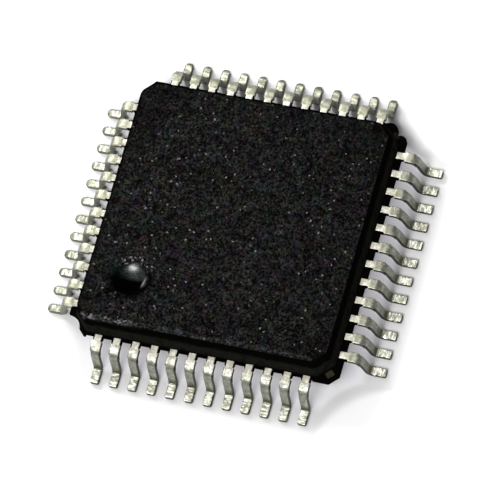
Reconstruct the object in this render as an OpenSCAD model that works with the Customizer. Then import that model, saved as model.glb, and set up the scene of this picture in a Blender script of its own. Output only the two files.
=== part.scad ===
// Quad flat package, 48 gull-wing leads on a 0.5 mm pitch, with its lead frame,
// chip and bond wires inside. Millimetres, +Z up. The origin is on the seating
// plane under the middle of the body, with the pin 1 corner at -X, -Y.

/* [Package] */
// Nominal width of the moulded body, both ways
body_w = 7.00; // [6.60:0.05:8.40]
// Height of the moulded body
body_h = 1.40; // [1.30:0.01:1.70]
// Clearance between the seating plane and the body
standoff = 0.10; // [0.05:0.01:0.20]
// How far the toes stand out past the nominal side of the body
lead_reach = 1.00; // [0.95:0.01:1.20]

/* [Moulding] */
// Draft of the body's sides, in degrees from upright
draft = 13; // [8:0.5:15]
// How much narrower the upper half is than the body, at its parting line
cap_step = 0.11; // [0.04:0.01:0.16]
// How much narrower the lower half is than the body, at its parting line
base_step = 0.06; // [0.02:0.01:0.16]
// Mould mismatch of the upper half along X
cap_shift_x = -0.03; // [-0.05:0.01:0.05]
// Mould mismatch of the upper half along Y
cap_shift_y = -0.02; // [-0.05:0.01:0.05]
// Mould mismatch of the lower half along Y
base_shift_y = 0.03; // [-0.04:0.01:0.04]
// Legs of the corner cuts on both halves
corner_cut = 0.38; // [0.30:0.01:0.45]

/* [Parting-line rim] */
// How far the resin rim stands out past the nominal side
rim_out = 0.05; // [0.02:0.01:0.08]
// How far inside the nominal side the rim is trimmed along the pin 1 row
rim_trim = 0.036; // [0.02:0.002:0.05]
// Leg along X of the rim's cut at the far left corner
far_cut_x = 0.31; // [0.20:0.01:0.34]
// Leg along Y of the rim's cut at the far left corner
far_cut_y = 0.38; // [0.20:0.01:0.42]
// Legs of the rim's cut at the near right corner
near_cut = 0.23; // [0.15:0.01:0.30]
// How far the notch between the two ears lies inside the far right corner
ear_notch = 0.26; // [0.22:0.01:0.30]
// Radius of the first ear at the far right corner
ear_a_r = 0.24; // [0.18:0.01:0.26]
// How far the first ear stands out past the rim
ear_a_out = 0.03; // [0:0.01:0.05]
// Radius of the second ear at the far right corner
ear_b_r = 0.17; // [0.12:0.01:0.19]
// How far the second ear stands out past the rim
ear_b_out = 0.02; // [0:0.01:0.05]
// Legs of the rim's cut at the pin 1 corner
pin1_cut = 0.39; // [0.30:0.01:0.42]
// Radius of the hollow sweep beside that cut
sweep_r = 0.40; // [0.35:0.01:0.42]
// Width of the step in the rim beside lead 1
step_w = 0.20; // [0.10:0.01:0.24]

/* [Pin 1 mark] */
// Diameter of the round dimple
dimple_d = 0.90; // [0.60:0.01:1.10]
// Depth of the dimple
dimple_depth = 0.15; // [0.08:0.01:0.18]
// Distance of its centre from the nominal -X side
dimple_x = 1.37; // [1.10:0.01:1.60]
// Distance of its centre from the nominal -Y side
dimple_y = 1.47; // [1.10:0.01:1.70]

/* [Leads] */
// Spacing of the leads along a side
pitch = 0.50; // [0.40:0.01:0.50]
// Thickness of the lead frame
lead_t = 0.127; // [0.10:0.001:0.16]
// How far the lead frame lies below the middle of the body
frame_drop = 0.015; // [0:0.005:0.04]
// Width of a lead where it leaves the body
root_w = 0.20; // [0.16:0.01:0.24]
// Width of the stub where the dam bar was cut away
stub_w = 0.27; // [0.25:0.01:0.30]
// Distance from the nominal side to the stub
stub_start = 0.14; // [0.08:0.01:0.16]
// Length of the stub
stub_l = 0.21; // [0.15:0.01:0.24]
// Slant of the stub's outer end
stub_slant = 0.05; // [0.02:0.005:0.06]
// Width of the foot
foot_w = 0.22; // [0.18:0.01:0.24]
// Length of the foot, from the corner of the heel to the toe
foot_l = 0.44; // [0.38:0.01:0.52]
// Lean of the leg away from upright, in degrees
leg_lean = 12; // [8:1:20]
// Radius on the underside of the shoulder
shoulder_r = 0.13; // [0.08:0.01:0.15]
// Radius on top of the heel
heel_r = 0.09; // [0.07:0.01:0.12]

/* [Lead frame inside] */
// Width of the square die paddle
paddle_w = 3.20; // [3.10:0.05:3.50]
// How far the paddle is set down below the leads
downset = 0.20; // [0.10:0.01:0.24]
// Gap between the paddle and the tips of the leads
tip_gap = 0.25; // [0.20:0.01:0.40]
// Width of a lead at its inner tip
tip_w = 0.11; // [0.08:0.01:0.13]
// Spacing of the inner tips
tip_pitch = 0.27; // [0.22:0.01:0.27]
// Distance from the nominal side to where a lead starts to fan in
knee_in = 0.45; // [0.40:0.01:0.60]
// Width of the four tie bars
tie_w = 0.20; // [0.14:0.01:0.22]
// How far a tie bar runs on level with the paddle before it climbs
tie_flat = 0.15; // [0.10:0.01:0.20]
// How far the near right tie bar ends short of the rim's cut
tie_short = 0.07; // [0.02:0.01:0.10]

/* [Chip] */
// Width of the square silicon chip
die_w = 2.40; // [1.80:0.05:2.70]
// Thickness of the chip
die_t = 0.28; // [0.20:0.01:0.33]
// Thickness of the die-attach layer
attach_t = 0.03; // [0.02:0.005:0.04]
// How far the die-attach layer spreads past the chip
attach_out = 0.08; // [0.04:0.01:0.12]

/* [Bond wires] */
// Diameter of the wire
wire_d = 0.030; // [0.025:0.001:0.038]
// Diameter of the ball on the chip
ball_d = 0.075; // [0.06:0.001:0.085]
// Height of the ball
ball_h = 0.020; // [0.015:0.001:0.025]
// Distance of the bond pads from the edge of the chip
pad_inset = 0.08; // [0.06:0.01:0.12]
// Distance of the outermost bond pads from the chip's corners
pad_end = 0.22; // [0.18:0.01:0.30]
// How far in along a lead's tip the wire is stitched
stitch_in = 0.08; // [0.06:0.01:0.12]
// Rise of the loop above the straight line between its ends
loop_rise = 0.14; // [0.10:0.01:0.18]

/* [Hidden] */
$fn = 48;
SIDES = 4;
PER_SIDE = 12;
LEADS = SIDES * PER_SIDE;
FULL = 3 * body_w;              // longer than anything it cuts
EPS = 0.02;                     // how far a cutter reaches past what it cuts

half_w = body_w / 2;
body_top = standoff + body_h;
frame_mid = standoff + body_h / 2 - frame_drop;
frame_low = frame_mid - lead_t / 2;
frame_top = frame_mid + lead_t / 2;

toe_x = half_w + lead_reach;
heel_x = toe_x - foot_l;                                    // corners of the bent centre line
shoulder_x = heel_x - (frame_mid - lead_t / 2) * tan(leg_lean);
stub_x = half_w + stub_start;
bend = 90 - leg_lean;                                       // angle turned by each bend
shoulder_mid = shoulder_r + lead_t / 2;
heel_mid = heel_r + lead_t / 2;
tip_x = paddle_w / 2 + tip_gap;
knee_x = half_w - knee_in;

paddle_top = frame_top - downset;
attach_top = paddle_top + attach_t;
die_top = attach_top + die_t;
pad_x = die_w / 2 - pad_inset;
pad_pitch = (die_w - 2 * pad_end) / (PER_SIDE - 1);
stitch_x = tip_x + stitch_in;

edge = half_w + rim_out;                                    // side of the rim
notch = edge - ear_notch;                                   // the corner between the ears
ear_l = 0.40;                                               // the ears' reach over the body
BAY = [0.50, 0.64];                                         // room left for the ears
trim_end = 0.60;                                            // trimmed row's end to the side
sliver_in = 0.20;                                           // a sliver's start in the body
step_at = 0.45;                                             // rim's corner to the step
SWEEP_AT = [-0.135, 0.085];                                 // rim's corner to the sweep
// Resin that runs on from the sweep to the last lead's stub, from the rim's corner
WEB_AT = [-0.11, 0.45];
WEB = [0.30, 0.25];
pin1_tie_cut = sweep_r - 0.13;                              // just behind the hollow sweep
// How far inside the rim's corners the tie bars end, from pin 1 round to pin 37
TIE_CUTS = [
    pin1_tie_cut, near_cut / 2 + tie_short, ear_notch - EPS / 2,
    far_cut_x * far_cut_y / (far_cut_x + far_cut_y)
];
TIE_ANGLES = [225, 315, 45, 135];
SIDE_NAMES = ["near", "right", "far", "left"];              // rows that hold pins 1, 13, 25, 37

function two_digits(n) = n < 10 ? str("0", n) : str(n);
function lead_name(n) = str("lead_", two_digits(n));
function wire_name(side) = str("bond_wires_", SIDE_NAMES[side]);
function centred(i, step) = (i - (PER_SIDE - 1) / 2) * step;
// Where the middle of lead i's slanted inner finger lies, x out from the middle
function finger_y(i, x) = centred(i, tip_pitch)
    + (centred(i, pitch) - centred(i, tip_pitch)) * (x - tip_x) / (knee_x - tip_x);

// ---------------------------------------------------------------- moulded body

// A side view of one half, wide at z = 0 and drawn in by the draft up to h
module drafted_profile(half, h) {
    polygon([[-half, 0], [half, 0], [half - h * tan(draft), h], [h * tan(draft) - half, h]]);
}

module drafted_slab(half, h) {
    rotate([90, 0, 0]) linear_extrude(FULL, center = true) drafted_profile(half, h);
}

// One half of the moulding: four drafted sides and four drafted corner cuts
module moulded_half(half, h) {
    corner_half = (2 * half - corner_cut) / sqrt(2);
    intersection() {
        drafted_slab(half, h);
        rotate([0, 0, 90]) drafted_slab(half, h);
        rotate([0, 0, 45]) drafted_slab(corner_half, h);
        rotate([0, 0, 135]) drafted_slab(corner_half, h);
    }
}

module upper_half() {
    translate([cap_shift_x, cap_shift_y, frame_top])
        moulded_half(half_w - cap_step / 2, body_top - frame_top);
}

module lower_half() {
    translate([0, base_shift_y, frame_low])
        mirror([0, 0, 1]) moulded_half(half_w - base_step / 2, frame_low - standoff);
}

// The cut of a square corner, legs a and b long, with the corner at the origin
module corner_triangle(a, b) {
    polygon([[EPS, EPS], [-a, EPS], [-a, 0], [0, -b], [EPS, -b]]);
}

// The far right corner: two rounded ears where resin ran beside the tie bar
module far_right_ears() {
    top = edge + ear_a_out;
    side = edge + ear_b_out;
    translate([notch - ear_a_r, top - ear_a_r]) circle(ear_a_r);
    translate([notch - 2 * ear_a_r, edge - ear_l])
        square([2 * ear_a_r, ear_l + ear_a_out - ear_a_r]);
    translate([side - ear_b_r, notch - ear_b_r]) circle(ear_b_r);
    translate([side - 2 * ear_b_r, notch - ear_l]) square([2 * ear_b_r, ear_l - ear_b_r]);
}

// Plan of the resin that filled the gap between the two halves at the lead frame
module rim_plan() {
    trimmed = half_w - rim_trim;
    row = half_w - trim_end;
    difference() {
        union() {
            square(2 * edge, center = true);
            translate([-edge, -edge] + WEB_AT) square(WEB);
        }
        translate([-edge, edge]) mirror([1, 0]) corner_triangle(far_cut_x, far_cut_y);
        translate([edge, -edge]) mirror([0, 1]) corner_triangle(near_cut, near_cut);
        translate([edge, edge] - BAY) square(BAY + [EPS, EPS]);
        translate([-row, -edge - EPS]) square([2 * row, edge - trimmed + EPS]);
        // the pin 1 corner: cut across, swept hollow, and stepped beside lead 1
        translate([-edge, -edge]) rotate(180) corner_triangle(pin1_cut, pin1_cut);
        translate([-edge, -edge] + SWEEP_AT) circle(sweep_r);
        translate([step_at - edge, -edge - EPS]) square([step_w, rim_out + EPS]);
    }
    far_right_ears();
}

// Thin slivers of resin left along both sides of every root, up to its stub
module root_slivers() {
    for (side = [0:SIDES - 1], i = [0:PER_SIDE - 1])
        on_side(side) translate([half_w - sliver_in, centred(i, pitch) - stub_w / 2])
            square([stub_x - half_w + sliver_in, stub_w]);
}

module dimple_cutter() {
    r = (pow(dimple_d / 2, 2) + pow(dimple_depth, 2)) / (2 * dimple_depth);
    translate([dimple_x - half_w, dimple_y - half_w, body_top - dimple_depth + r])
        sphere(r, $fn = 96);
}

module moulded_body() {
    color("#242426") difference() {
        union() {
            upper_half();
            lower_half();
            translate([0, 0, frame_low]) linear_extrude(lead_t) {
                rim_plan();
                root_slivers();
            }
        }
        dimple_cutter();
        translate([0, 0, frame_low]) linear_extrude(lead_t) all_lead_plans();
        die_paddle();
        die_attach();
        silicon_die();
        for (side = [0:SIDES - 1]) bond_wires(side);
    }
}

// ------------------------------------------------------------------- the leads

// Turns a child drawn along +X onto one of the four sides
module on_side(side) {
    rotate([0, 0, 90 * side - 90]) children();
}

// Plan of one lead, from its inner tip out to its toe
module lead_plan(i) {
    y = centred(i, pitch);
    tip_y = finger_y(i, tip_x);
    stub_end = stub_x + stub_l;
    polygon([
        [tip_x, tip_y - tip_w / 2], [knee_x, y - root_w / 2],
        [stub_x, y - root_w / 2], [stub_x, y - stub_w / 2],
        [stub_end, y - stub_w / 2], [stub_end + stub_slant, y - foot_w / 2],
        [toe_x, y - foot_w / 2], [toe_x, y + foot_w / 2],
        [stub_end + stub_slant, y + foot_w / 2], [stub_end, y + stub_w / 2],
        [stub_x, y + stub_w / 2], [stub_x, y + root_w / 2],
        [knee_x, y + root_w / 2], [tip_x, tip_y + tip_w / 2]
    ]);
}

module all_lead_plans() {
    for (side = [0:SIDES - 1], i = [0:PER_SIDE - 1]) on_side(side) lead_plan(i);
}

// One bend of the strip about the origin: it starts at 12 o'clock and turns by
// the bend angle, clockwise, ending square to the leg
module bend_profile(r_mid) {
    reach = 2 * r_mid + lead_t;
    intersection() {
        difference() {
            circle(r_mid + lead_t / 2);
            circle(r_mid - lead_t / 2);
        }
        translate([0, -reach]) square([reach, 2 * reach]);
        rotate(-bend) translate([-reach, -reach]) square([reach, 2 * reach]);
    }
}

// Side view of a lead, each stretch drawn from the end of the one before it:
// flat, shoulder, leaning leg, heel and foot
module lead_profile() {
    shoulder_cut = shoulder_mid * tan(bend / 2);
    heel_cut = heel_mid * tan(bend / 2);
    leg_l = (frame_mid - lead_t / 2) / cos(leg_lean) - shoulder_cut - heel_cut;
    flat_end = shoulder_x - shoulder_cut;
    flat_l = flat_end - tip_x;
    sole_l = foot_l - heel_cut;
    translate([flat_end, frame_mid - shoulder_mid]) {
        translate([-flat_l, shoulder_r]) square([flat_l, lead_t]);
        bend_profile(shoulder_mid);
        rotate(-bend) {
            translate([0, shoulder_r]) square([leg_l, lead_t]);
            translate([leg_l, shoulder_r + lead_t + heel_r]) mirror([0, 1]) {
                bend_profile(heel_mid);
                rotate(-bend) translate([0, heel_r]) square([sole_l, lead_t]);
            }
        }
    }
}

// Lead n, counted anticlockwise from pin 1, seen from above
module lead(n) {
    color("#b9b8a6") on_side(floor((n - 1) / PER_SIDE)) intersection() {
        rotate([90, 0, 0]) linear_extrude(FULL, center = true) lead_profile();
        translate([0, 0, -EPS]) linear_extrude(body_top) lead_plan((n - 1) % PER_SIDE);
    }
}

// ------------------------------------------------------- paddle and tie bars

// Side view of a tie bar along its diagonal: down at the paddle, up at the leads
module tie_profile(cut) {
    start = paddle_w / 2;
    down_end = start * sqrt(2) + tie_flat;
    up_start = down_end + downset;
    end = (edge - cut) * sqrt(2);
    polygon([
        [start, paddle_top - lead_t], [down_end, paddle_top - lead_t],
        [up_start, frame_low], [end, frame_low], [end, frame_top],
        [up_start, frame_top], [down_end, paddle_top], [start, paddle_top]
    ]);
}

module die_paddle() {
    color("#a9683f") union() {
        translate([-paddle_w / 2, -paddle_w / 2, paddle_top - lead_t])
            cube([paddle_w, paddle_w, lead_t]);
        for (k = [0:SIDES - 1])
            rotate([0, 0, TIE_ANGLES[k]]) rotate([90, 0, 0])
                linear_extrude(tie_w, center = true) tie_profile(TIE_CUTS[k]);
    }
}

// ---------------------------------------------------------- the chip, attached

module die_attach() {
    w = die_w + 2 * attach_out;
    color("#c9c9cf") translate([-w / 2, -w / 2, paddle_top]) cube([w, w, attach_t]);
}

module silicon_die() {
    color("#5b6270") translate([-die_w / 2, -die_w / 2, attach_top]) cube([die_w, die_w, die_t]);
}

// -------------------------------------------------------------- the bond wires

// One wire: a ball on the chip, and a loop down to the inner tip of lead i
module bond_wire(i) {
    start = [pad_x, centred(i, pad_pitch), die_top + ball_h];
    run = [stitch_x - start[0], finger_y(i, stitch_x) - start[1], frame_top - start[2]];
    length = norm([run[0], run[1]]);
    chord = norm(run);
    tilt = atan2(run[2], length);
    // the arc through both ends that rises loop_rise above the chord
    r = (pow(chord / 2, 2) + pow(loop_rise, 2)) / (2 * loop_rise);
    sweep = 2 * asin(chord / 2 / r);
    over = 12;                          // degrees run on past each end, then trimmed
    difference() {
        translate(start) rotate([0, 0, atan2(run[1], run[0])]) rotate([0, -tilt, 0])
            rotate([90, 0, 0]) translate([chord / 2, loop_rise - r, 0])
                rotate([0, 0, 90 - sweep / 2 - over])
                    rotate_extrude(angle = sweep + 2 * over, $fn = 64)
                        translate([r, 0]) circle(wire_d / 2, $fn = 16);
        translate([0, -half_w, 0]) cube([die_w / 2, body_w, start[2]]);
        translate([die_w / 2, -half_w, 0]) cube([half_w, body_w, frame_top]);
    }
    translate([start[0], start[1], die_top]) cylinder(h = ball_h, d = ball_d, $fn = 24);
}

module bond_wires(side) {
    color("#d8b24a") on_side(side) for (i = [0:PER_SIDE - 1]) bond_wire(i);
}

// ----------------------------------------------------------------- the outputs

moulded_body();
die_paddle();
die_attach();
silicon_die();
for (side = [0:SIDES - 1]) bond_wires(side);
for (n = [1:LEADS]) lead(n);
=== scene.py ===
import math
import random

import bpy
from mathutils import Matrix, Vector


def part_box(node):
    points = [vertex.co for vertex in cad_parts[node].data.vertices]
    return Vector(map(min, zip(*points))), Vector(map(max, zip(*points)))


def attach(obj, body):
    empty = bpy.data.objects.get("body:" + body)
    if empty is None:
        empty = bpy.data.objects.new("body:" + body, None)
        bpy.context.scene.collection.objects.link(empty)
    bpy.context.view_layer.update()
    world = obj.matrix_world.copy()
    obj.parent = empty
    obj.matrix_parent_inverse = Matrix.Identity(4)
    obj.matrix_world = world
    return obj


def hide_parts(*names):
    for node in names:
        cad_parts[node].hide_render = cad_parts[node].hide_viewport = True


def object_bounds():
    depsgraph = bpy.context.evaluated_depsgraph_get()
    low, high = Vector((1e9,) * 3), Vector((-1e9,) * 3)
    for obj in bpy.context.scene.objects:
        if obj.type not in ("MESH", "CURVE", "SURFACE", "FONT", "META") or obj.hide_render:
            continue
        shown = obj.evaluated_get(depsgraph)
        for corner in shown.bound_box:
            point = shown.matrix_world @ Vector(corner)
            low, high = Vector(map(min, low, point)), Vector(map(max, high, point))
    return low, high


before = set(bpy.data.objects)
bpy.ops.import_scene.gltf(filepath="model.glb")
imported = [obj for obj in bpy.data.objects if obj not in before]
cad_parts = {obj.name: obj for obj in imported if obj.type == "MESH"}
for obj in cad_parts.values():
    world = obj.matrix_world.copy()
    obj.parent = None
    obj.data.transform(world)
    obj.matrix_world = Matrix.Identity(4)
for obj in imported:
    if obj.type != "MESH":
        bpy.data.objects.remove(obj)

cad_low, cad_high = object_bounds()


# ------------------------------------------------------------------ the camera
# A long lens on a copy stand, looking down on the chip from the near right, so
# that the two sides facing it and the whole top show with little perspective.

MM = 0.001                                  # a millimetre in metres
CAMERA_TURN = math.radians(39.164)          # how far round from the -Y side
CAMERA_HEIGHT = math.radians(64.893)        # above the horizon
CAMERA_ROLL = math.radians(-25.590)
CAMERA_DISTANCE = 130.672 * MM
CAMERA_AIM = Vector((0.1423, -0.1432, -0.0941)) * MM
CAMERA_LENS = 371.46
FILM_WIDTH = 36.0

bpy.ops.object.camera_add()
camera = bpy.context.object
camera.matrix_world = (
    Matrix.Translation(CAMERA_AIM)
    @ Matrix.Rotation(CAMERA_TURN, 4, "Z")
    @ Matrix.Rotation(math.pi / 2 - CAMERA_HEIGHT, 4, "X")
    @ Matrix.Rotation(CAMERA_ROLL, 4, "Z")
    @ Matrix.Translation((0, 0, CAMERA_DISTANCE))
)
camera.data.lens = CAMERA_LENS
camera.data.sensor_width = FILM_WIDTH
camera.data.clip_start = CAMERA_DISTANCE / 10
camera.data.clip_end = 10
bpy.context.scene.camera = camera
bpy.context.scene.view_settings.view_transform = "Standard"


# ------------------------------------------------------- lamps, floor and world
# A softbox over the near side, one overhead, one beyond the far left corner and a
# strip of window low on the left, in a dim room. The floor is a sheet of white card,
# shown as plain white in the open and grey where the chip shades it, with painted
# shade added close round the chip and a painted glow lifting the shade by the near rows.

KEY_FROM = Vector((-0.05, -0.50, 0.86))
KEY_DISTANCE = 0.40
KEY_SIZE = (0.20, 0.15)
KEY_WATTS = 1.50
SIDE_FROM = Vector((-0.60, 0.53, 0.62))
SIDE_DISTANCE = 0.30
SIDE_SIZE = (0.10, 0.07)
SIDE_WATTS = 0.50
TOP_FROM = Vector((-0.27, 0.33, 0.905))
TOP_DISTANCE = 0.35
TOP_SIZE = (0.22, 0.22)
TOP_WATTS = 0.25
WINDOW_FROM = Vector((-0.78, 0.36, 0.47))
WINDOW_SIZE = (0.12, 0.04)
WINDOW_WATTS = 0.16
ROOM_LIGHT = 0.14
FLOOR_SIZE = 2.0
FLOOR_GREY = 0.80
FLOOR_DROP = 0.01 * MM
# painted shade on the card: its lamplight is shown dimmer close round the chip and back to full
# with distance, sooner off the corners and on the far sides; a painted glow lifts the shade by the
# near rows
SHADE_LIFT = (0.00, 0.36)                   # card white kept in the shade, far and near
SHADE_GAIN = (0.66, 0.90)                   # share of the lamplight shown, by the chip and away
SHADE_TINT = (1.0, 0.98, 1.04, 1.0)
SHADE_HALF = 3.1                            # the distances below are measured out from here
SHADE_CORNER = 1.3                          # how much quicker it gets light off the corners
SHADE_FADE = (1.25, 2.05)
LIFT_FADE = (1.05, 0.70)
FAR_SOONER = 0.45                           # the far sides get light this much sooner


def add_softbox(name, toward, distance, size, watts):
    """A rectangular lamp that faces the chip from the direction `toward`."""
    bpy.ops.object.light_add(type="AREA", location=toward.normalized() * distance)
    lamp = bpy.context.object
    lamp.name = name
    lamp.rotation_euler = toward.to_track_quat("Z", "Y").to_euler()
    lamp.data.shape = "RECTANGLE"
    lamp.data.size, lamp.data.size_y = size
    lamp.data.energy = watts


class Socket:
    """One output of a shader node. Sums on it add Math nodes to its tree."""

    def __init__(self, end):
        self.end = end

    def node(self, kind, settings=None, sockets=None, output=0):
        """Any node in the same tree: its settings first, then values or links."""
        node = self.end.id_data.nodes.new(kind)
        for name, value in (settings or {}).items():
            setattr(node, name, value)
        for key, value in (sockets or {}).items():
            if isinstance(value, Socket):
                self.end.id_data.links.new(value.end, node.inputs[key])
            else:
                node.inputs[key].default_value = value
        return Socket(node.outputs[output]) if node.outputs else None

    def math(self, operation, *values):
        return self.node("ShaderNodeMath", {"operation": operation}, dict(enumerate(values)))

    def __add__(self, other):
        return self.math("ADD", self, other)

    def __sub__(self, other):
        return self.math("SUBTRACT", self, other)

    def __mul__(self, other):
        return self.math("MULTIPLY", self, other)

    def __rsub__(self, other):
        return self.math("SUBTRACT", other, self)

    __radd__ = __add__
    __rmul__ = __mul__


def grey(level):
    return (level, level, level, 1.0)


def step(value, low, high, start=0.0, end=1.0):
    """Goes smoothly from start to end as value goes from low to high."""
    return value.node("ShaderNodeMapRange", {"interpolation_type": "SMOOTHSTEP"}, {
        "Value": value, "From Min": low, "From Max": high, "To Min": start, "To Max": end,
    })


def noise(point, size, detail=2.0, roughness=0.5, seed=0.0, output=0):
    """Cloudy noise, 0 to 1, whose lumps are about `size` millimetres across."""
    return point.node("ShaderNodeTexNoise", {"noise_dimensions": "4D"}, {
        "Vector": point, "W": seed, "Scale": 1 / size, "Detail": detail, "Roughness": roughness,
    }, output)


def mix(factor, first, second):
    """A colour between first and second."""
    return factor.node("ShaderNodeMix", {"data_type": "RGBA"}, {0: factor, 6: first, 7: second}, 2)


def axes_of(vector):
    """The X, Y and Z of a place or of a direction."""
    ends = vector.node("ShaderNodeSeparateXYZ", None, {0: vector}).end.node.outputs
    return [Socket(end) for end in ends]


def start_finish(name):
    """A new material, and the place on the object in millimetres."""
    material = bpy.data.materials.new(name)
    material.use_nodes = True
    tree = material.node_tree
    tree.nodes.clear()
    place = Socket(tree.nodes.new("ShaderNodeTexCoord").outputs["Object"])
    point = place.node(
        "ShaderNodeVectorMath", {"operation": "SCALE"}, {"Vector": place, "Scale": 1 / MM}
    )
    return material, point


def end_finish(shader):
    shader.node("ShaderNodeOutputMaterial", None, {"Surface": shader})


def make_card():
    material, point = start_finish("white_card")
    tooth = noise(point, 0.35, detail=4)
    paper = point.node("ShaderNodeBsdfDiffuse", None, {
        "Color": mix(tooth, grey(FLOOR_GREY), grey(FLOOR_GREY * 0.98))
    })
    x, y, _ = axes_of(point)
    near, far = x.math("MAXIMUM", x, 0 - y), x.math("MAXIMUM", y, 0 - x)
    # painted shade: the card's lamplight is shown dimmer close round the chip, fading out with
    # distance
    wide = x.math("MAXIMUM", x.math("ABSOLUTE", x) - SHADE_HALF, 0.0)
    deep = y.math("MAXIMUM", y.math("ABSOLUTE", y) - SHADE_HALF, 0.0)
    away = wide + deep + wide * deep * SHADE_CORNER
    away = away + step(far - near, -1.0, 1.0, 0.0, FAR_SOONER)
    lit_and_painted_shade = point.node("ShaderNodeBsdfDiffuse", None, {
        "Color": mix(step(away, *SHADE_FADE), grey(SHADE_GAIN[0]), grey(SHADE_GAIN[1]))
    })
    glow = point.node("ShaderNodeEmission", None, {"Color": SHADE_TINT, "Strength": 1.0})
    # a painted glow lifts the shade in the gaps by the near rows
    lift = step(near, 3.0, 3.5, *SHADE_LIFT) * step(away, *LIFT_FADE)
    seen = point.node("ShaderNodeMixShader", None, {0: lift, 1: lit_and_painted_shade, 2: glow})
    rays = point.node("ShaderNodeLightPath").end.node.outputs
    direct = Socket(rays["Is Camera Ray"])
    for name in ("Is Glossy Ray", "Is Transmission Ray"):
        direct = direct.math("MAXIMUM", direct, Socket(rays[name]))
    end_finish(point.node("ShaderNodeMixShader", None, {0: direct, 1: paper, 2: seen}))
    return material


add_softbox("key_softbox", KEY_FROM, KEY_DISTANCE, KEY_SIZE, KEY_WATTS)
add_softbox("top_softbox", TOP_FROM, TOP_DISTANCE, TOP_SIZE, TOP_WATTS)
add_softbox("side_softbox", SIDE_FROM, SIDE_DISTANCE, SIDE_SIZE, SIDE_WATTS)
add_softbox("window", WINDOW_FROM, SIDE_DISTANCE, WINDOW_SIZE, WINDOW_WATTS)

bpy.ops.mesh.primitive_plane_add(size=FLOOR_SIZE, location=(0, 0, cad_low.z - FLOOR_DROP))
floor = bpy.context.object
floor.name = "floor"
floor.data.materials.append(make_card())

world = bpy.data.worlds.new("dim_room")
bpy.context.scene.world = world
world.use_nodes = True
world.node_tree.nodes.clear()
seen_directly = Socket(world.node_tree.nodes.new("ShaderNodeLightPath").outputs["Is Camera Ray"])
room = seen_directly.node("ShaderNodeBackground", None, {
    "Color": grey(1.0), "Strength": seen_directly * (1 - ROOM_LIGHT) + ROOM_LIGHT
})
room.node("ShaderNodeOutputWorld", None, {"Surface": room})


# ------------------------------------------------------------- the moulded body
# One block of black epoxy, pressed round the lead frame in a two-part mould. The
# mould is spark-eroded, so the top and bottom faces come out grainy and the
# drafted sides smoother; the pin 1 dimple is left by a polished round pin.

body_low, body_high = (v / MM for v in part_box("moulded_body"))
frame_low = 0.7215
frame_top = 0.8485
frame_mid = (frame_low + frame_top) / 2
UP = Vector((0, 0, 1))
SPARE = 0.1                                 # how far a cutter reaches past what it cuts
WELD = 1e-5                                 # points this near are one
SAME = 1e-4                                 # within this, two places are the same

DRAFT = math.radians(13)
UPPER_HALF = 3.445
UPPER_SHIFT = Vector((-0.03, -0.02, 0))
LOWER_HALF = 3.470
LOWER_SHIFT = Vector((0, 0.03, 0))
CORNER_CUT = 0.38
FACE_ROUND = 0.018
CORNER_ROUND = 0.06

RIM = 3.55
RIM_TRIM = 3.45
ROW = 2.90
FAR_CUT = (0.31, 0.38)
NEAR_CUT = 0.23
PIN1_CUT = 0.39
STEP = (-3.10, -2.90)
STEP_BACK = 3.5                             # where the near rim steps back by pin 1
SWEEP_AT = (-3.685, -3.465)
SWEEP_R = 0.40
WEB = ((-3.66, -3.10), (-3.36, -2.85))
EAR_A = (3.05, 3.34, 0.24)
EAR_B = (3.40, 3.12, 0.17)
EAR_BASE = (3.15, 2.89)
BAY = (3.05, 2.91)
SHRINK = 0.004                              # the resin sets this far below the metal's faces

DIMPLE_AT = (-2.13, -2.03)
DIMPLE_R = 0.45
DIMPLE_DEPTH = 0.15
DIMPLE_LIP = 0.22
LIP_FROM = math.radians(8)
LIP_STEPS, BALL_STEPS = 6, 14

SMOOTH_BELOW = math.radians(32)
GRAIN = 0.060
CRUMB = 0.040
# the crumbs' white, also used for painted glints
CRUMB_AND_GLINT_WHITE = (0.14, 0.137, 0.13, 1)
FILLER_GREY = (0.50, 0.49, 0.47, 1)
# the resin's black, also standing as painted shade lines along the top's edges and the sides'
# edges
SKIN_AND_EDGE_SHADE_BLACK = (0.0014, 0.0015, 0.0012, 1)
SKIN_GREY = (0.0094, 0.0096, 0.0080, 1)     # a belt half way up the drafted sides
# painted shade in the pin 1 dimple, and a faint painted sheen on its upper half
DIMPLE_SHADE_BLACK = (0.0004, 0.0004, 0.0006, 1)
DIMPLE_SHEEN_GREEN = (0.003, 0.008, 0.007, 1)


def only(piece):
    bpy.ops.object.select_all(action="DESELECT")
    piece.select_set(True)
    bpy.context.view_layer.objects.active = piece


def edit(piece, mode="VERT"):
    only(piece)
    bpy.ops.object.mode_set(mode="EDIT")
    bpy.ops.mesh.select_mode(type=mode)
    bpy.ops.mesh.select_all(action="SELECT")


def leave():
    bpy.ops.object.mode_set(mode="OBJECT")


def pick(piece, kind, wanted):
    """In edit mode, selects the points, edges or faces for which wanted() is true."""
    bpy.ops.mesh.select_mode(type=kind)
    bpy.ops.mesh.select_all(action="DESELECT")
    leave()
    mesh = piece.data
    if kind == "VERT":
        for v in mesh.vertices:
            v.select = wanted(v.co)
    elif kind == "EDGE":
        for e in mesh.edges:
            e.select = wanted(*(mesh.vertices[n].co for n in e.vertices))
    else:
        for f in mesh.polygons:
            f.select = wanted(f.center, f.normal)
    bpy.ops.object.mode_set(mode="EDIT")


def slice_off(piece, point, outward):
    """Cuts away what lies beyond the plane through point, and closes the cut."""
    edit(piece)
    bpy.ops.mesh.bisect(
        plane_co=point, plane_no=outward, use_fill=True, clear_outer=True, threshold=WELD
    )
    leave()


def combine(piece, other, operation="UNION"):
    """Joins other to piece, or cuts it from piece, and uses it up."""
    only(piece)
    join = piece.modifiers.new("combine", "BOOLEAN")
    join.operation = operation
    join.solver = "MANIFOLD"
    join.object = other
    bpy.ops.object.modifier_apply(modifier=join.name)
    bpy.data.objects.remove(other)


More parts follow.
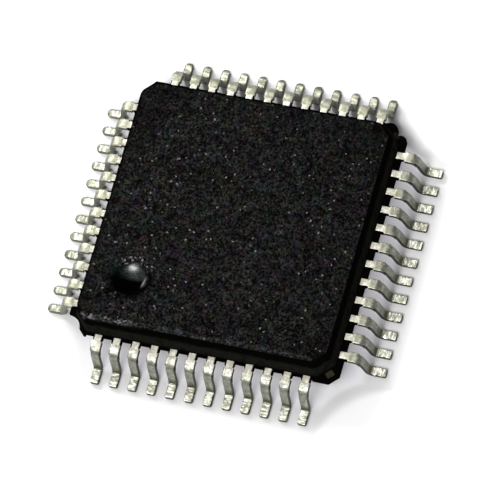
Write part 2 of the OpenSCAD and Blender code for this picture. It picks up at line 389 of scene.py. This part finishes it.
def add_block(low, high):
    """A block from its low corner to its high one."""
    low, high = Vector(low), Vector(high)
    bpy.ops.mesh.primitive_cube_add(size=1, location=(low + high) / 2, scale=high - low)
    block = bpy.context.object
    only(block)
    bpy.ops.object.transform_apply(location=True, rotation=True, scale=True)
    return block


def add_disc(x, y, radius, low, high, sides=48):
    """An upright round bar between two heights."""
    bpy.ops.mesh.primitive_cylinder_add(
        vertices=sides, radius=radius, depth=high - low, location=(x, y, (low + high) / 2)
    )
    disc = bpy.context.object
    only(disc)
    bpy.ops.object.transform_apply(location=True, rotation=True, scale=True)
    return disc


def add_half(half, shift, wide_z, narrow_z):
    """One half of the moulding: a block drafted on its sides and cut corners."""
    up = math.copysign(1, narrow_z - wide_z)
    levels = sorted((wide_z, narrow_z))
    block = add_block((-half, -half, levels[0]), (half, half, levels[1]))
    corner_half = (2 * half - CORNER_CUT) / math.sqrt(2)
    for turn in range(8):
        reach = half if turn % 2 == 0 else corner_half
        out = Matrix.Rotation(turn * math.pi / 4, 3, "Z") @ Vector((1, 0, 0))
        slope = out * math.cos(DRAFT) + UP * up * math.sin(DRAFT)
        slice_off(block, out * reach + UP * wide_z, slope)
    edit(block)
    pick(block, "EDGE", lambda a, b: abs(a.z - b.z) > 0.1)
    bpy.ops.mesh.bevel(offset=CORNER_ROUND, segments=3, affect="EDGES")
    pick(block, "EDGE", lambda a, b: max(abs(a.z - narrow_z), abs(b.z - narrow_z)) < SAME)
    bpy.ops.mesh.bevel(offset=FACE_ROUND, segments=2, affect="EDGES")
    # a straight skirt that sinks into the rim
    pick(block, "FACE", lambda centre, normal: normal.z * up < -0.9)
    bpy.ops.mesh.extrude_region_move(
        TRANSFORM_OT_translate={"value": (0, 0, frame_mid - wide_z)}
    )
    bpy.ops.mesh.select_all(action="SELECT")
    bpy.ops.transform.translate(value=shift)
    leave()
    return block


def add_rim():
    """The thin plate of resin that filled the gap between the mould's halves."""
    bottom, top = frame_low + SHRINK, frame_top - SHRINK
    plate = add_block((-RIM, -RIM, bottom), (RIM, RIM, top))
    below, above = frame_low - SPARE, frame_top + SPARE
    slice_off(plate, (-RIM + FAR_CUT[0], RIM, 0), (-FAR_CUT[1], FAR_CUT[0], 0))
    slice_off(plate, (RIM - NEAR_CUT - SHRINK, -RIM, 0), (1, -1, 0))
    slice_off(plate, (-RIM + PIN1_CUT + SHRINK, -RIM, 0), (-1, -1, 0))
    for start, end in (
        ((-ROW, -RIM - SPARE), (ROW, -RIM_TRIM)),               # trimmed along the near row
        ((STEP[0], -RIM - SPARE), (STEP[1], -STEP_BACK)),
        (BAY, (RIM + SPARE, RIM + SPARE)),                      # room for the ears
    ):
        combine(plate, add_block((*start, below), (*end, above)), "DIFFERENCE")
    combine(plate, add_block((*WEB[0], bottom), (*WEB[1], top)))
    combine(plate, add_disc(*SWEEP_AT, SWEEP_R, below, above), "DIFFERENCE")
    for x, y, r in (EAR_A, EAR_B):
        combine(plate, add_disc(x, y, r, bottom, top, 32))
    for (x, y, r), base in zip((EAR_A, EAR_B), EAR_BASE):
        combine(plate, add_block((x - r, base, bottom), (x + r, y, top)))
    return plate


LEAD_ROWS = 4
ROW_LEADS = 12
PITCH = 0.50
ROOT_W = 0.20
STUB_W = 0.27
STUB_AT = 3.64
SLIVER_FROM = 3.30
SLIVER_ENDS = (3.59, 3.645)
SLIVER_BITE = 0.01                          # how far it runs into the lead
SLIVER_NARROW = 0.02
SLIVER_LOW = (0.004, 0.03)
SLIVER_SKEW = (0.01, 0.05)


def add_slivers():
    """The ragged resin left on both sides of every lead, out to its stub."""
    rough = random.Random(7)
    slivers = []
    for row in range(LEAD_ROWS):
        for lead in range(ROW_LEADS):
            for side in (-1, 1):
                middle = (lead - (ROW_LEADS - 1) / 2) * PITCH
                inner = middle + side * (ROOT_W / 2 - SLIVER_BITE)
                outer = middle + side * (STUB_W / 2 - rough.uniform(0, SLIVER_NARROW))
                end = rough.uniform(*SLIVER_ENDS)
                top = frame_top - rough.uniform(*SLIVER_LOW)
                block = add_block(
                    (SLIVER_FROM, min(inner, outer), frame_low + SLIVER_BITE),
                    (end, max(inner, outer), top),
                )
                edit(block)
                pick(block, "VERT", lambda p: (
                    p.x > end - SAME and (p.y - middle) * side > ROOT_W / 2 + SLIVER_BITE
                ))
                bpy.ops.transform.translate(value=(-rough.uniform(*SLIVER_SKEW), 0, 0))
                bpy.ops.mesh.select_all(action="SELECT")
                turn = (row - 1) * math.pi / 2
                bpy.ops.transform.rotate(
                    value=-turn, orient_axis="Z", center_override=(0, 0, 0)
                )
                leave()
                slivers.append(block)
    bpy.ops.object.select_all(action="DESELECT")
    for block in slivers:
        block.select_set(True)
    bpy.context.view_layer.objects.active = slivers[0]
    bpy.ops.object.join()
    return slivers[0]


def add_dimple_pin(top):
    """The mould's round pin: a shallow ball end with a small fillet round it."""
    ball_r = (DIMPLE_R ** 2 + DIMPLE_DEPTH ** 2) / (2 * DIMPLE_DEPTH)
    ball_z = top - DIMPLE_DEPTH + ball_r
    lip_r = math.sqrt((ball_r + DIMPLE_LIP) ** 2 - (ball_z - top + DIMPLE_LIP) ** 2)
    meet = math.atan2(lip_r, ball_z - top + DIMPLE_LIP)         # slope where ball and lip meet
    rings = [(lip_r + SPARE / 2, top + SPARE / 2)]
    for k in range(LIP_STEPS):
        slope = LIP_FROM + (meet - LIP_FROM) * k / (LIP_STEPS - 1)
        rings.append((
            lip_r - DIMPLE_LIP * math.sin(slope), top - DIMPLE_LIP * (1 - math.cos(slope))
        ))
    for k in range(1, BALL_STEPS):
        slope = meet * (1 - k / BALL_STEPS)
        rings.append((ball_r * math.sin(slope), ball_z - ball_r * math.cos(slope)))
    bpy.ops.mesh.primitive_circle_add(vertices=96, radius=rings[0][0], location=(0, 0, 0))
    pin = bpy.context.object
    edit(pin)
    bpy.ops.transform.translate(value=(*DIMPLE_AT, rings[0][1]))
    centre = (*DIMPLE_AT, 0)
    bpy.ops.mesh.edge_face_add()
    for (r0, z0), (r1, z1) in zip(rings, rings[1:]):
        bpy.ops.mesh.extrude_region_move(TRANSFORM_OT_translate={"value": (0, 0, z1 - z0)})
        bpy.ops.transform.resize(value=(r1 / r0, r1 / r0, 1), center_override=centre)
    bpy.ops.mesh.poke()
    bpy.ops.mesh.select_all(action="SELECT")
    bpy.ops.mesh.normals_make_consistent(inside=False)
    leave()
    return pin


def bring_in(piece, name, slot, *nodes):
    """Cleans a finished piece, brings it to metres and hands it to the frame."""
    edit(piece)
    bpy.ops.mesh.remove_doubles(threshold=WELD)
    bpy.ops.mesh.normals_make_consistent(inside=False)
    leave()
    bpy.ops.object.shade_smooth_by_angle(angle=SMOOTH_BELOW)
    piece.scale = (MM, MM, MM)
    bpy.ops.object.transform_apply(location=True, rotation=True, scale=True)
    piece.name = piece.data.name = name
    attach(piece, "root")
    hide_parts(*nodes)


def grit(point, size):
    """Random grey, 0 to 1, in crumbs about `size` millimetres across."""
    crumbs = point.node("ShaderNodeTexVoronoi", None, {"Vector": point, "Scale": 1 / size}, 1)
    return crumbs.node("ShaderNodeSeparateColor", None, {0: crumbs})


def bump(height, distance):
    """A relief in which a height of 1 stands `distance` millimetres out."""
    return height.node("ShaderNodeBump", None, {"Height": height, "Distance": distance * MM})


def make_mould_compound():
    material, point = start_finish("mould_compound")
    x, y, z = axes_of(point)
    slope = axes_of(point.node("ShaderNodeNewGeometry", output="Normal"))[2]
    flat = step(slope.math("ABSOLUTE", slope), 0.97, 0.995)
    coarse = noise(point, 0.16, seed=3)
    # the pin 1 dimple: polished in patches inside, painted near-black as shade inside and in a
    # ragged patch past its lower left rim, with a faint painted green-grey sheen on its upper
    # half, and glittering above
    dx, dy = x - DIMPLE_AT[0], y - DIMPLE_AT[1]
    high = step(z, 1.30, 1.34)
    reach = x.math("SQRT", dx * dx + dy * dy) + coarse * 0.16
    polished = step(reach, 0.50, 0.36) * high
    # painted shade: the dimple and a ragged patch past its lower left rim are painted near-black
    sx, sy = dx + 0.14, dy + 0.10
    dimple_shade_mask = step(x.math("SQRT", sx * sx + sy * sy) + coarse * 0.40, 0.94, 0.44) * high
    upper = step(dy * 0.9 - dx * 0.1, -0.06, 0.26)
    lower = step(dx * 0.98 - dy * 0.2, 0.25, 0.31) * step(dy, -0.26, -0.10)
    wiped = noise(point.node("ShaderNodeCombineXYZ", None, {0: x, 1: y * 2.5}), 0.10, seed=8)
    upper = upper * step(wiped, 0.34, 0.56, 0.45, 1.0)
    mirror = polished * upper.math("MAXIMUM", upper, lower)
    # painted glints: crumbs round the dimple's upper rim and along the near top edge by pin 1
    rim_glitter = step(reach, 0.72, 0.62) * step(reach, 0.44, 0.52) * step(dy, 0.15, 0.35)
    edge_glitter = step(y, -3.14, -3.19) * step(y, -3.34, -3.29) * step(x, -1.20, -2.20)
    rim_glitter = rim_glitter.math("MAXIMUM", rim_glitter, edge_glitter) * high
    # the smooth band along the top's edges, painted black as a shadow line
    wide = x.math("ABSOLUTE", x - UPPER_SHIFT.x)
    deep = y.math("ABSOLUTE", y - UPPER_SHIFT.y)
    beyond = x.math("MAXIMUM", UPPER_SHIFT.x - x, y - UPPER_SHIFT.y)
    inner = step(beyond, 3.28, 3.23) * step(wide + deep, 6.26, 6.19)
    inner = flat * inner * high
    # painted highlight: the grain is lighter along the near top edges
    near_edge_highlight = step(y, -3.12, -3.24).math(
        "MAXIMUM", step(y, -3.12, -3.24), step(x, 3.16, 3.28) * 0.6
    )
    # silica grain in the black resin, with a few bright crumbs, partly standing for painted glints
    fine = noise(point, GRAIN, detail=3, roughness=0.70, seed=1)
    light = step(fine, 0.38, 0.80, 0.0014, 0.0330) * step(coarse, 0.25, 0.75, 0.45, 1.55)
    light = light * (near_edge_highlight * 1.3 + 1)
    cast = noise(point, 0.26, detail=1, seed=6, output=1)
    cast = cast.node("ShaderNodeMix", {"data_type": "RGBA"}, {0: 0.5, 6: FILLER_GREY, 7: cast}, 2)
    grainy = cast.node("ShaderNodeVectorMath", {"operation": "SCALE"}, {
        "Vector": cast, "Scale": light * 2,
    })
    glitter = grit(point, CRUMB)
    speck = step(glitter, 0.988, 0.999)
    speck = speck.math("MAXIMUM", speck, step(glitter, 0.80, 0.90) * rim_glitter)
    black = mix(speck, grainy, CRUMB_AND_GLINT_WHITE)
    # the drafted sides grey in a belt, black above and below it as painted shade lines at their
    # edges
    belt = step(z, 0.84, 0.95) * step(z + coarse * 0.25, 1.42, 1.28)
    belt = belt * step(coarse, 0.25, 0.60, 0.35, 1.0)
    black = mix(
        inner.math("MAXIMUM", inner, rim_glitter), mix(belt, SKIN_AND_EDGE_SHADE_BLACK, SKIN_GREY), black
    )
    # the painted shade and sheen go in the dimple and that patch, but not on the glitter
    dimple_painted_shade = dimple_shade_mask.math("MAXIMUM", dimple_shade_mask, polished) * (1 - rim_glitter)
    end_finish(point.node("ShaderNodeBsdfPrincipled", None, {
        "Base Color": mix(dimple_painted_shade, black, mix(upper, DIMPLE_SHADE_BLACK, DIMPLE_SHEEN_GREEN)),
        "Roughness": 0.65,
        "Specular IOR Level": 0.0,
        "Coat Weight": mirror,
        "Coat Roughness": 0.30,
        "Coat IOR": 1.85,
        "Normal": bump((fine * 0.7 + coarse * 0.3) * inner, 0.02),
    }))
    return material


body = add_half(UPPER_HALF, UPPER_SHIFT, frame_top, body_high.z)
combine(body, add_dimple_pin(body_high.z), "DIFFERENCE")
rim = add_rim()
combine(rim, add_slivers())
combine(rim, add_half(LOWER_HALF, LOWER_SHIFT, frame_low, body_low.z))
combine(body, rim)
body.data.materials.clear()                 # the joins leave an empty slot
body.data.materials.append(make_mould_compound())
bring_in(body, "black_moulding", "mould_compound", "moulded_body")


# ------------------------------------------------------------------- the leads
# Forty-eight flat strips of copper alloy, sheared from one sheet, plated with
# tin-lead solder and bent to a gull wing on each side once the resin had set.
# A wider stub stays on each where the dam bar between the leads was cut away.

LEAD_T = 0.127
TIP_AT = 1.85
TIP_W = 0.11
TIP_PITCH = 0.27
KNEE_AT = 3.05
FLAT_END = 3.75
FOOT_W = 0.22
TOE_AT = 4.50
LEAN = math.radians(12)
BEND = math.pi / 2 - LEAN
SHOULDER_R = 0.13 + LEAD_T / 2
HEEL_R = 0.09 + LEAD_T / 2
STUB_L = 0.26
EDGE_ROUND = 0.024
NEAR_TOE, FAR_TOE = (0.030, 0.010), (0.095, 0.045)     # rounded in plan, and in thickness
TOE_STEPS = 5
FOOT_DENT = 0.008
FOOT_AT = 4.13
TOE_BARE = 0.05                             # this much of the foot stays flat
BEND_STEPS = 9
HAIR = 0.005                                # half a step too small to see

# plating, each first untarnished and then where tarnished; some stand for painted light and shade,
# as marked
# painted highlight over the near rows' stub and first of the bend, and the roots of the row along
# +Y
HIGHLIGHT_AND_ROOT_TIN = ((0.98, 0.97, 0.88, 1), (0.58, 0.56, 0.44, 1))
# the painted highlight band's colour on the row along +X
RIGHT_TIN = ((0.46, 0.47, 0.35, 1), (0.30, 0.31, 0.21, 1))
# the roots' colour on the row along -X
LEFT_TIN = ((0.60, 0.58, 0.48, 1), (0.34, 0.325, 0.25, 1))
WORN_TIN = ((0.98, 0.96, 0.84, 1), (0.64, 0.60, 0.48, 1))
# the far rows' level faces, painted darker as shade
FAR_LEVEL_SHADE_TIN = ((0.50, 0.50, 0.38, 1), (0.28, 0.28, 0.20, 1))
SOLE_TIN = ((0.98, 0.97, 0.86, 1), (0.34, 0.34, 0.25, 1))
# the far rows' feet, painted darker as shade
FAR_SOLE_SHADE_TIN = ((0.56, 0.56, 0.44, 1), (0.31, 0.31, 0.23, 1))
# painted shade on the sloping faces and legs
SLOPE_SHADE_TIN = ((0.265, 0.275, 0.23, 1), (0.155, 0.165, 0.125, 1))
# painted shade low down at the heel
HEEL_SHADE_OLIVE = (0.075, 0.080, 0.050, 1)
# the far feet's darker outline, and painted shade on the foot by the heel of the row along +Y
SOLE_RIM_AND_HEEL_SHADE = (0.13, 0.135, 0.10, 1)
# the sides and toe ends: dark as bare sheared metal at the toe ends and as painted shade on the
# sides, darker on the near rows
NEAR_SIDE_BARE_AND_SHADE = ((0.030, 0.027, 0.020, 1), (0.010, 0.009, 0.006, 1))
FAR_SIDE_SHADE = ((0.20, 0.205, 0.165, 1), (0.10, 0.105, 0.08, 1))
FAR_ROWS = (3.30, 3.45)                     # where the far and left rows start


def add_gull_wing(toe_round, toe_lip):
    """One lead along +X with its middle line at y = 0, from inner tip to toe."""
    bpy.ops.mesh.primitive_plane_add(size=1, location=(0, 0, 0))
    lead = bpy.context.object
    edit(lead)
    bpy.ops.transform.rotate(value=math.pi / 2, orient_axis="Y", center_override=(0, 0, 0))
    bpy.ops.transform.resize(value=(1, ROOT_W, LEAD_T), center_override=(0, 0, 0))
    bpy.ops.mesh.bevel(offset=EDGE_ROUND, segments=4, affect="VERTICES")
    bpy.ops.transform.translate(value=(TIP_AT, 0, frame_mid))

    def run(distance, angle=0.0, steps=1):
        for _ in range(steps):
            bpy.ops.mesh.extrude_region_move(TRANSFORM_OT_translate={"value": (
                distance / steps * math.cos(angle), 0, -distance / steps * math.sin(angle)
            )})

    def bend(centre, angle):
        bpy.ops.mesh.spin(
            steps=BEND_STEPS, angle=angle, center=centre, axis=(0, 1, 0),
            use_auto_merge=False,
        )

    run(KNEE_AT - TIP_AT)
    run(STUB_AT - HAIR - KNEE_AT, steps=3)
    run(2 * HAIR)                                     # the stub's square shoulder
    run(FLAT_END - STUB_AT - HAIR)
    bend((FLAT_END, 0, frame_mid - SHOULDER_R), -BEND)
    leg = (frame_mid - LEAD_T / 2) / math.cos(LEAN) - (SHOULDER_R + HEEL_R) * math.tan(BEND / 2)
    run(leg, BEND, steps=8)
    heel_x = FLAT_END + (SHOULDER_R + HEEL_R) * math.sin(BEND) + leg * math.cos(BEND)
    bend((heel_x, 0, HEEL_R + LEAD_T / 2), BEND)
    run(TOE_AT - toe_round - heel_x, steps=8)
    # the toe: rounded off in plan, and a little at its top and bottom edges
    wide, thick, at = FOOT_W / 2, LEAD_T / 2, TOE_AT - toe_round
    for k in range(1, TOE_STEPS + 1):
        turn = math.pi / 2 * k / TOE_STEPS
        next_wide = FOOT_W / 2 - toe_round * (1 - math.cos(turn))
        next_thick = LEAD_T / 2 - toe_lip * (1 - math.cos(turn)) ** 2
        next_at = TOE_AT - toe_round * (1 - math.sin(turn))
        run(next_at - at)
        bpy.ops.transform.resize(
            value=(1, next_wide / wide, next_thick / thick),
            center_override=(0, 0, LEAD_T / 2),
        )
        wide, thick, at = next_wide, next_thick, next_at
    bpy.ops.mesh.select_all(action="SELECT")
    bpy.ops.mesh.normals_make_consistent(inside=False)
    stub_end = STUB_AT + STUB_L
    pick(lead, "VERT", lambda p: STUB_AT - SAME < p.x < stub_end and p.z > frame_mid / 2)
    bpy.ops.transform.resize(value=(1, STUB_W / ROOT_W, 1), center_override=(0, 0, 0))
    pick(lead, "VERT", lambda p: p.x > stub_end)
    bpy.ops.transform.resize(value=(1, FOOT_W / ROOT_W, 1), center_override=(0, 0, 0))
    leave()
    lead.data.materials.append(solder_plate)
    lead.data.materials.append(sheared_side_and_shade)
    edit(lead)
    pick(lead, "FACE", lambda centre, normal: abs(normal.y) > 0.9 or centre.x > TOE_AT - SAME)
    lead.active_material_index = 1
    bpy.ops.object.material_slot_assign()
    leave()
    return lead


def make_solder_plate():
    material, point = start_finish("solder_plate")
    x, y, z = axes_of(point)
    out = x.math("MAXIMUM", x.math("ABSOLUTE", x), y.math("ABSOLUTE", y))
    across = x.math("DIVIDE", x * y, out)
    blotch = noise(point, 0.10, detail=3, roughness=0.65)
    fine = noise(point, 0.035, detail=2, seed=2)
    strip = point.node("ShaderNodeCombineXYZ", None, {0: out * 3.0, 1: across, 2: z})
    streak = noise(strip, 0.13, detail=2, roughness=0.6, seed=5)
    # bright where level, as painted light: the root, the stub with the first of the bend, and the
    # foot; the sloping faces are painted dark as shade
    slope = axes_of(point.node("ShaderNodeNewGeometry", output="Normal"))[2]
    level = step(slope.math("ABSOLUTE", slope), 0.62, 0.985)
    far = step(y.math("MAXIMUM", y, 0 - x), *FAR_ROWS)
    # a painted highlight band over the stub and the first of the bend
    band = step(out, 3.64, 3.69) * step(out + blotch * 0.16, 3.92, 3.82)
    foot = step(out, 4.10, 4.16) * step(z, 0.20, 0.16)
    # painted shade on the foot next to the heel, on the row along +Y
    heel = foot * step(y, 4.23, 4.16) * step(y, 3.90, 4.00)
    from_middle = x.math("ABSOLUTE", x.math("FRACT", across * (1 / PITCH)) - 0.5) * PITCH
    rim = step(from_middle, 0.070, 0.095)
    rim = rim.math("MAXIMUM", rim, step(out, 4.39, 4.44)) * far * foot
    tarnish = step(blotch, 0.36, 0.62)
    # the painted highlight's colour, with its own colours on the rows along +X and -X
    highlight_and_root_tin = mix(tarnish, *HIGHLIGHT_AND_ROOT_TIN)
    highlight_and_root_tin = mix(step(x, 3.3, 3.5) * step(out, 3.62, 3.70), highlight_and_root_tin, mix(tarnish, *RIGHT_TIN))
    highlight_and_root_tin = mix(step(x, -3.3, -3.5), highlight_and_root_tin, mix(tarnish, *LEFT_TIN))
    # the far rows' level faces painted darker as shade
    plate_and_far_shade = mix(far, mix(tarnish, *WORN_TIN), mix(tarnish, *FAR_LEVEL_SHADE_TIN))
    # painted shade on the sloping faces and legs, darker low down at the heel
    leg_and_slope_shade = mix(step(z, 0.38, 0.17), mix(tarnish, *SLOPE_SHADE_TIN), HEEL_SHADE_OLIVE)
    # the painted highlight on the near rows, and the far rows' roots
    bright = band.math("MAXIMUM", band * (1 - far), far * step(out, 3.68, 3.62))
    # the far rows' feet painted darker as shade, the row along +Y most
    sole = mix(
        far * step(y, 3.9, 4.0, 0.60, 1.0),
        mix(step(streak, 0.38, 0.58), *SOLE_TIN),
        mix(step(streak, 0.40, 0.60), *FAR_SOLE_SHADE_TIN),
    )
    # painted shade by the heel, and the far feet's darker outline
    sole = mix(heel.math("MAXIMUM", heel, rim), sole, SOLE_RIM_AND_HEEL_SHADE)
    top = mix(foot, mix(bright, plate_and_far_shade, highlight_and_root_tin), sole)
    rub = bright.math("MAXIMUM", bright, foot)
    # on the near rows the lead past the shoulder takes the painted shade up to the foot, level or
    # not
    reach = step(out + blotch * 0.2 - far, 4.00, 3.84)
    end_finish(point.node("ShaderNodeBsdfPrincipled", None, {
        "Base Color": mix(level * reach.math("MAXIMUM", foot, reach), leg_and_slope_shade, top),
        "Metallic": step(tarnish * 0.3 + rub * 0.7, 0.0, 1.0, 0.50, 0.60),
        "Roughness": step(fine * 0.5 + blotch * 0.5, 0.30, 0.70, 0.30, 0.45),
        "Normal": bump(streak * 0.7 + fine * 0.3, 0.016),
    }))
    return material


def make_sheared_side_and_shade():
    material, point = start_finish("sheared_side_and_shade")
    x, y, _ = axes_of(point)
    drag = noise(point, 0.06, detail=2, seed=4)
    # painted shade on the sides, darker on the near rows; the toe ends dark as bare sheared metal
    far = step(y.math("MAXIMUM", y, 0 - x), *FAR_ROWS)
    end_finish(point.node("ShaderNodeBsdfPrincipled", None, {
        "Base Color": mix(far, mix(drag, *NEAR_SIDE_BARE_AND_SHADE), mix(drag, *FAR_SIDE_SHADE)),
        "Metallic": 0.5,
        "Roughness": step(drag, 0.3, 0.7, 0.40, 0.55),
        "Normal": bump(drag, 0.006),
    }))
    return material


def place_lead(pattern, row, count):
    """A copy of the pattern lead: its tip fanned in, then set in its row."""
    piece = pattern.copy()
    piece.data = pattern.data.copy()
    bpy.context.collection.objects.link(piece)
    middle = (count - (ROW_LEADS - 1) / 2) * PITCH
    tip = (count - (ROW_LEADS - 1) / 2) * TIP_PITCH
    edit(piece)
    pick(piece, "VERT", lambda p: FOOT_AT < p.x < TOE_AT - TOE_BARE and p.z > LEAD_T - 2 * HAIR)
    bpy.ops.transform.vertex_random(
        offset=FOOT_DENT, uniform=0, normal=1, seed=row * ROW_LEADS + count
    )
    pick(piece, "VERT", lambda p: p.x < TIP_AT + 2 * HAIR)
    bpy.ops.transform.translate(value=(0, tip - middle, 0))
    bpy.ops.transform.resize(value=(1, TIP_W / ROOT_W, 1), center_override=(0, tip - middle, 0))
    bpy.ops.mesh.select_all(action="SELECT")
    bpy.ops.transform.translate(value=(0, middle, 0))
    leave()
    piece.rotation_euler.z = (row - 1) * math.pi / 2
    bpy.ops.object.transform_apply(location=True, rotation=True, scale=True)
    number = row * ROW_LEADS + count + 1
    bring_in(piece, f"gull_wing_{number:02d}", "tinned_lead", f"lead_{number:02d}")


solder_plate = make_solder_plate()
sheared_side_and_shade = make_sheared_side_and_shade()
near_lead, far_lead = add_gull_wing(*NEAR_TOE), add_gull_wing(*FAR_TOE)
for row in range(LEAD_ROWS):
    for count in range(ROW_LEADS):
        place_lead(far_lead if row >= 2 else near_lead, row, count)
bpy.data.objects.remove(near_lead)
bpy.data.objects.remove(far_lead)


# --------------------------------------------------- what is sealed in the resin
# The copper paddle and its tie bars carry the chip on a layer of silver-filled
# epoxy, and gold wires run from the chip to the leads. The tie bars' sheared
# ends show at the corners of the moulding; the rest is out of sight.


def coat_node(node, material):
    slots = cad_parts[node].data.materials
    slots.clear()
    slots.append(material)


def make_metal(name, light, dark, rough, size, film=None):
    """A cloudy metal, darkened where x + y passes between the two values of film."""
    material, point = start_finish(name)
    cloud = noise(point, size, detail=3)
    if film:
        x, y, _ = axes_of(point)
        cloud = cloud.math("MAXIMUM", cloud, step(x + y, *film))
    end_finish(point.node("ShaderNodeBsdfPrincipled", None, {
        "Base Color": mix(cloud, (*light, 1), (*dark, 1)),
        "Metallic": 1.0,
        "Roughness": step(cloud, 0.3, 0.7, *rough),
        "Normal": bump(noise(point, size / 4, seed=1), 0.004),
    }))
    return material


coat_node("die_paddle", make_metal(
    "etched_copper", (0.10, 0.082, 0.055), (0.010, 0.008, 0.005), (0.40, 0.60), 0.07, (5.0, 6.0)
))
coat_node("die_attach", make_metal(
    "silver_epoxy", (0.62, 0.62, 0.64), (0.45, 0.45, 0.47), (0.50, 0.65), 0.03
))
coat_node("silicon_die", make_metal(
    "silicon", (0.20, 0.22, 0.27), (0.15, 0.16, 0.21), (0.10, 0.20), 0.30
))
gold = make_metal("gold_wire", (0.92, 0.70, 0.30), (0.80, 0.58, 0.22), (0.15, 0.25), 0.05)
for side in ("near", "right", "far", "left"):
    coat_node(f"bond_wires_{side}", gold)
